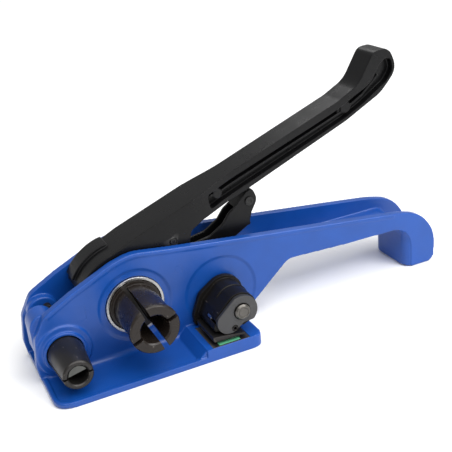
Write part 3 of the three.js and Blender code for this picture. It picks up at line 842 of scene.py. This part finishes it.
def drive_pawl():
    toe, brow = pawl_face(90)
    profile = [
        toe,
        (2.9, AXIS[1] + 25.9),
        (8.2, AXIS[1] + 29.2),
        *arc(DRIVE_PIVOT, 6.2, -82, 108),
        (5, AXIS[1] + 33.4, 1),
        brow,
    ]
    return less(prism(profile, MIDDLE + 0.9, RATCHET_TO, 0.4), rod(DRIVE_PIVOT, PIN_BORE, 0, 50))


def drive_pawl_pin():
    front, back = 7.1, 39.9
    ringed_head = [(0, front), (1.1, front), (1.3, 6.6), (2.1, 6.6), (2.3, front), (2.6, 6.8)]
    shank = [(3, 7.2), (3, 39.5), (2.6, back), (0, back)]
    return turned(DRIVE_PIVOT, ringed_head + shank, 64)


finished(drive_lever(), "drive_lever", "lever", LEVER_BLACK, CAST_SHARP)
finished(ring(AXIS, 15.7, SHAFT_BORE, 6.5, RATCHET_FROM - GAP, 0.3), "lever_front_bush", "lever", STEEL)
finished(ring(AXIS, 15.7, SHAFT_BORE, RATCHET_TO + GAP, REAR - 0.2, 0.3), "lever_rear_bush", "lever", STEEL)
finished(drive_pawl(), "drive_pawl", "driving_pawl", DARK)
finished(drive_pawl_pin(), "drive_pawl_pin", "lever", DARK)
pawl_spring = coil(DRIVE_PIVOT, 4.4, 0.5, 31.2, 34.7, turns=2.4, start_angle=200, leg=5)
finished(pawl_spring, "drive_pawl_spring", "lever", SPRING, SPRING_SHARP)

# ---------------------------------------------------------------- release lever with the holding pawl
FINGER_FRONT, FINGER_BACK, FLANGE = 15.5, 29, 2.6
FINGER_LINE = [
    *arc(HOLD_PIVOT, 7, 120, 280),
    (60, 50.5, 12),
    (88, 62.8, 10),
    (101.5, 70.2, 2),
    (104, 70.4, 1),
    (103.6, 73.8, 1),
    (105.6, 80.3, 8),
    (111.2, 89.8, 8),
    (107.6, 99.4, 4),
    (101.5, 97, 5),
    (95, 89),
    (87, 84, 8),
    (81, 76.4, 10),
    (70, 69.6, 10),
    (44, 65.4, 6),
]
FINGER_VALLEY = [
    (50, 57.5),
    (60, 54.6),
    (87.5, 66.4, 8),
    (99.5, 73.6, 3),
    (100.6, 80, 3),
    (96, 84, 4),
    (86, 92),
    (60, 80),
    (50, 74),
]


def release_lever():
    toe, brow = pawl_face(60)
    nose = prism(
        [
            toe,
            polar(26, 54),
            polar(29.4, 45),
            *arc(HOLD_PIVOT, 6.4, 215, 270),
            (38, 57),
            *arc(HOLD_PIVOT, 6.4, 60, 95),
            (22, AXIS[1] + 27.5),
            brow,
        ],
        RATCHET_FROM,
        MIDDLE - 0.9,
    )
    finger = less(
        prism(FINGER_LINE, FINGER_FRONT, FINGER_BACK, 0.8),
        rod(AXIS, 29.6, 14.75, FINGER_BACK + 1),
        prism(FINGER_VALLEY, FINGER_FRONT + FLANGE, FINGER_BACK - FLANGE),
    )
    lever = cast(union(finger, nose), 0.3, 3, 0.3)
    return less(lever, rod(HOLD_PIVOT, PIN_BORE, 0, 50), rod(TAIL_PIN, 2.8, 0, 50))


def tail_pin():
    head, shank, overhang = 3.4, 2.5, 1.2
    front, back = FINGER_FRONT - overhang, FINGER_BACK + overhang
    profile = [
        (0, front + 0.5),
        (1.4, front + 0.5),
        (1.7, front),
        (head, front),
        (head, FINGER_FRONT - GAP),
        (shank, FINGER_FRONT - GAP),
        (shank, FINGER_BACK + GAP),
        (head, FINGER_BACK + GAP),
        (head, back),
        (0, back),
    ]
    return turned(TAIL_PIN, softened(profile, 0.2), 48)


finished(release_lever(), "release_lever", "release", LEVER_BLACK, CAST_SHARP)
finished(rod(HOLD_PIVOT, 3, 2, 49.6, 0.5), "release_lever_pin", "base", STEEL)
finished(ring(HOLD_PIVOT, 5, PIN_BORE, 46.9, 48, 0.2), "release_lever_circlip", "base", DARK)
release_spring = coil(HOLD_PIVOT, 4.7, 0.55, 7.2, 12.6, turns=3.4, start_angle=20, leg=7)
finished(release_spring, "release_lever_spring", "base", SPRING, SPRING_SHARP)
finished(tail_pin(), "release_lever_tail_pin", "release", DARK)

# ---------------------------------------------------------------- cutter
ARM_FROM, ARM_TO = HUB_DEPTH + 0.8, HUB_DEPTH + 6.8
ARM_MIDDLE = HUB_DEPTH + 3.8
CX, CZ = CUTTER


def cutter_sleeve():
    profile = [
        (7.2, -35.8),
        (8.2, -36.8),
        (9.9, -36.8),
        (10.9, -35.8),
        (13.2, -5),
        (12, 2.4),
        (12, HUB_DEPTH),
        (7.2, HUB_DEPTH),
        (7.2, -35.8),
    ]
    sleeve = less(turned(CUTTER, profile, 128), crossbar(CUTTER, 40, 1.5, 5, -40, -4))
    return cast(sleeve, 0.22, 3, 0.3)


def cutter_shaft():
    shaft = rod(CUTTER, 6.8, -35.4, BODY_WIDTH, 0.5, 96)
    relief = box(-10, 10, -37.8, -1.8, -18.6, 1.4)
    tilt = Matrix.Rotation(-math.radians(12), 4, "Y")
    relief.data.transform(Matrix.Translation((CX * MM, 0, CZ * MM)) @ tilt)
    pin_bore = upright(CX, ARM_MIDDLE, 1.8, CZ - 2, CZ + 10)
    return less(shaft, relief, pin_bore, rod(CUTTER, 2, 37.5, 60))


def cutter_arm():
    profile = [
        *arc(CUTTER, 11, 150, 390),
        (CX + 2.2, CZ + 22, 3),
        (CX + 0.5, CZ + 26.5, 3),
        (CX - 4.5, CZ + 25, 3),
    ]
    arm = prism(profile, ARM_FROM, ARM_TO, 0.8)
    return less(arm, rod(CUTTER, 7.1, 0, 50, 0, 96), upright(CX, ARM_MIDDLE, 1.8, CZ, CZ + 16))


def cutter_screw():
    head = BODY_WIDTH + 2.1
    profile = [(0, 38), (1.7, 38), (1.7, head), (5, head), (5, head + 2.2), (4.2, head + 3), (0, head + 3)]
    slot = box(CX - 6, CX + 6, head + 1.6, head + 4, CZ - 0.6, CZ + 0.6)
    return less(turned(CUTTER, profile, 64), slot)


finished(cutter_sleeve(), "cutter_sleeve", "base", GREY, CAST_SHARP)
finished(cutter_shaft(), "cutter_shaft", "cutter", BLADE)
finished(cutter_arm(), "cutter_arm", "cutter", LEVER_BLACK)
finished(upright(CX, ARM_MIDDLE, 1.5, CZ - 1.5, CZ + 14, 0.3), "cutter_arm_pin", "cutter", STEEL)
cutter_spring = coil(CUTTER, 8.3, 0.5, 31.1, 33.7, turns=1.4, start_angle=30, leg=4)
finished(cutter_spring, "cutter_spring", "base", SPRING, SPRING_SHARP)
finished(ring(CUTTER, 9.5, 2.3, BODY_WIDTH + GAP, BODY_WIDTH + 1.8, 0.3), "cutter_washer", "cutter", STEEL)
finished(cutter_screw(), "cutter_screw", "cutter", DARK)


# ---------------------------------------------------------------- gripper
CAM_PLATE = [*arc(GRIPPER, 12.3, -48, 118), *arc((57.2, 24.6), 9.6, 150, 325), (68.6, 21, 3)]


def gripper_cam():
    rear = prism(
        [
            *arc(GRIPPER, 15.4, -30, 118),
            (48, 35.4, 8),
            (41.3, 19, 8),
            (41.8, 11.6, 1.5),
            (46.6, 11.6, 1),
            (47.6, 17.2),
            (73.6, 15, 6),
        ],
        -5,
        -1,
        0.6,
    )
    drum = prism(
        [*arc(GRIPPER, 13.2, -60, 120), (50.5, 31.5, 6), (46, 21.5, 5), (46.4, 17.6, 1), (70, 16.8, 3)],
        -32.6,
        -4,
        0.6,
    )
    front = prism(CAM_PLATE, -32.6, -24, 0.6)
    cam = union(rear, drum, rod(GRIPPER, 13.8, -18.6, -17, 0.4, 128), front)
    cast(less(cam, rod(GRIPPER, 9.4, -40, -24, 0, 128)), 0.26, 3, 0.3)
    return less(
        cam,
        rod(GRIPPER, 6.3, -40, 5, 0, 96),
        rod(ROLL_PIN, 2.6, -40, -23),
        rod(STOP_PIN, 1.9, -40, -17),
    )


def gripper_plate():
    plate = prism(CAM_PLATE, -36, -33, 0.6)
    return less(plate, rod(GRIPPER, 6.6, -50, 5, 0, 96), rod(ROLL_PIN, 2.6, -50, 5))


def gripper_axle():
    face = [(0, -38.4), (3.3, -38.4), (3.5, -38.1), (3.8, -38.1), (4, -38.4), (4.9, -38.4)]
    shank = [(6, -37.3), (6, 9.2), (4, 9.2), (4, 19), (0, 19)]
    return turned(GRIPPER, face + shank, 96)


def axle_nut():
    """A hexagon nut."""
    return less(prism(arc(GRIPPER, 8.4, 30, 330, 60), 11.3, 17.3, 0.4), rod(GRIPPER, 4.3, 0, 30))


def gripper_shoe():
    profile = [(43.4, 12.2), (42.8, 16.3, 0.6), (46, 16.1), (68, 13, 0.6), (67.6, 11.4)]
    teeth = [prism([(x, 10.6), (x + 2, 10.6), (x + 1, 12.6)], -50, 0) for x in range(45, 66, 3)]
    return less(prism(profile, -37, -5.6, 0.3), *teeth)


def gripper_tray():
    left, right, front, floor, top = (TRAY[k] for k in ("left", "right", "front", "floor", "top"))
    return less(
        box(left, right, front, TRAY["back"], floor, top, 0.5),
        box(left + 5.4, right - 6.2, front + 1.6, front + 9.4, floor + 1.2, 20),
        *[upright(x, y, 2, -1, top - 1.2) for x, y in TRAY_SCREWS],
    )


def tray_insert():
    left, right, front = TRAY["left"] + 5.7, TRAY["right"] - 6.5, TRAY["front"]
    return box(left, right, front + 1.9, front + 9.1, TRAY["floor"] + 1.5, TRAY["top"] - 0.3, 0.35)


def tray_screw(x, y):
    return union(upright(x, y, 1.7, 0.6, TRAY["top"] - 1.6, 0.3), upright(x, y, 3.8, 0.2, 2, 0.3))


finished(gripper_cam(), "gripper_cam", "gripper", BLACK, CAST_SHARP)
finished(gripper_plate(), "gripper_front_plate", "gripper", PLATE)
finished(gripper_axle(), "gripper_axle", "base", AXLE)
finished(ring(GRIPPER, 9, 4.3, 9.5, 11, 0.2), "gripper_axle_washer", "base", STEEL)
finished(axle_nut(), "gripper_axle_nut", "base", STEEL)
finished(ring(ROLL_PIN, 2.3, 1.1, -36.4, -24, 0.25, 48), "gripper_roll_pin", "gripper", BLACK)
finished(ring(STOP_PIN, 1.6, 0.6, -24.6, -18, 0.3, 40), "gripper_stop_pin", "gripper", STEEL)
gripper_spring = coil(GRIPPER, 7.8, 0.6, -32, -25, turns=3.2, start_angle=150, leg=1)
finished(gripper_spring, "gripper_spring", "base", SPRING, SPRING_SHARP)
finished(gripper_shoe(), "gripper_shoe", "gripper", GREY)
finished(gripper_tray(), "gripper_tray", "base", GREY)
finished(tray_insert(), "tray_insert", "base", GREEN)
for number, place in enumerate(TRAY_SCREWS, 1):
    finished(tray_screw(*place), f"tray_screw_{number}", "base", DARK)


# ---------------------------------------------------------------- floor, light and camera
FLOOR_REACH = 200000
FLOOR_DROP = 0.0002


def floor():
    bm = bmesh.new()
    bmesh.ops.create_grid(bm, x_segments=1, y_segments=1, size=FLOOR_REACH)
    stage = new_object("floor", bm)
    material, _, _, shader = node_material("studio_floor")
    shader.inputs["Base Color"].default_value = (0.95, 0.95, 0.95, 1)
    shader.inputs["Roughness"].default_value = 0.8
    stage.data.materials.append(material)
    stage.location.z = -FLOOR_DROP


def area_light(name, place, aim, size, power):
    light = bpy.data.lights.new(name, "AREA")
    light.shape = "RECTANGLE"
    light.size, light.size_y = size
    light.energy = power
    lamp = bpy.data.objects.new(name, light)
    lamp.location = place
    lamp.rotation_euler = (Vector(aim) - Vector(place)).to_track_quat("-Z", "Y").to_euler()
    bpy.context.scene.collection.objects.link(lamp)


def sun_light(towards, strength, angle):
    """A wide soft sun in the given direction."""
    light = bpy.data.lights.new("sun", "SUN")
    light.energy = strength
    light.angle = math.radians(angle)
    lamp = bpy.data.objects.new("sun", light)
    lamp.rotation_euler = Vector(towards).to_track_quat("Z", "Y").to_euler()
    bpy.context.scene.collection.objects.link(lamp)


def world_light(strength):
    world = bpy.data.worlds.new("studio")
    world.use_nodes = True
    background = world.node_tree.nodes["Background"]
    background.inputs["Color"].default_value = (1, 1, 1, 1)
    background.inputs["Strength"].default_value = strength
    bpy.context.scene.world = world
    bpy.context.scene.view_settings.view_transform = "Standard"


def camera(target, azimuth, elevation, roll, distance, lens):
    """A camera that looks at target, from a direction given in degrees; azimuth 0 is from -Y."""
    azimuth, elevation, roll = (math.radians(a) for a in (azimuth, elevation, roll))
    level = math.cos(elevation)
    back = Vector((math.sin(azimuth) * level, -math.cos(azimuth) * level, math.sin(elevation)))
    right = Vector((math.cos(azimuth), math.sin(azimuth), 0))
    up = back.cross(right)
    turn = Matrix.Rotation(roll, 3, back)
    right, up = turn @ right, turn @ up
    place = Vector(target) + back * distance
    rows = [(right[i], up[i], back[i], place[i]) for i in range(3)]
    data = bpy.data.cameras.new("camera")
    data.sensor_width = 36
    data.lens = lens
    data.clip_start = 0.01
    data.clip_end = 1000
    eye = bpy.data.objects.new("camera", data)
    eye.matrix_world = Matrix([*rows, (0, 0, 0, 1)])
    bpy.context.scene.collection.objects.link(eye)
    bpy.context.scene.camera = eye


floor()
world_light(0.42)
sun_light(towards=(0.25, -0.45, 1.0), strength=2.5, angle=60)
area_light("key", place=(0.6, -0.6, 0.55), aim=(0.1, 0, 0.04), size=(0.5, 0.4), power=3.5)
area_light("left", place=(-0.55, -0.7, 1.1), aim=(0.05, 0, 0.05), size=(0.5, 0.5), power=2.5)
area_light("rim", place=(0.5, 0.8, 0.9), aim=(0.1, 0, 0.08), size=(0.6, 0.3), power=2)
camera((0.0767, 0, 0.0818), azimuth=-22.67, elevation=23.72, roll=-5.74, distance=0.6241, lens=67.66)
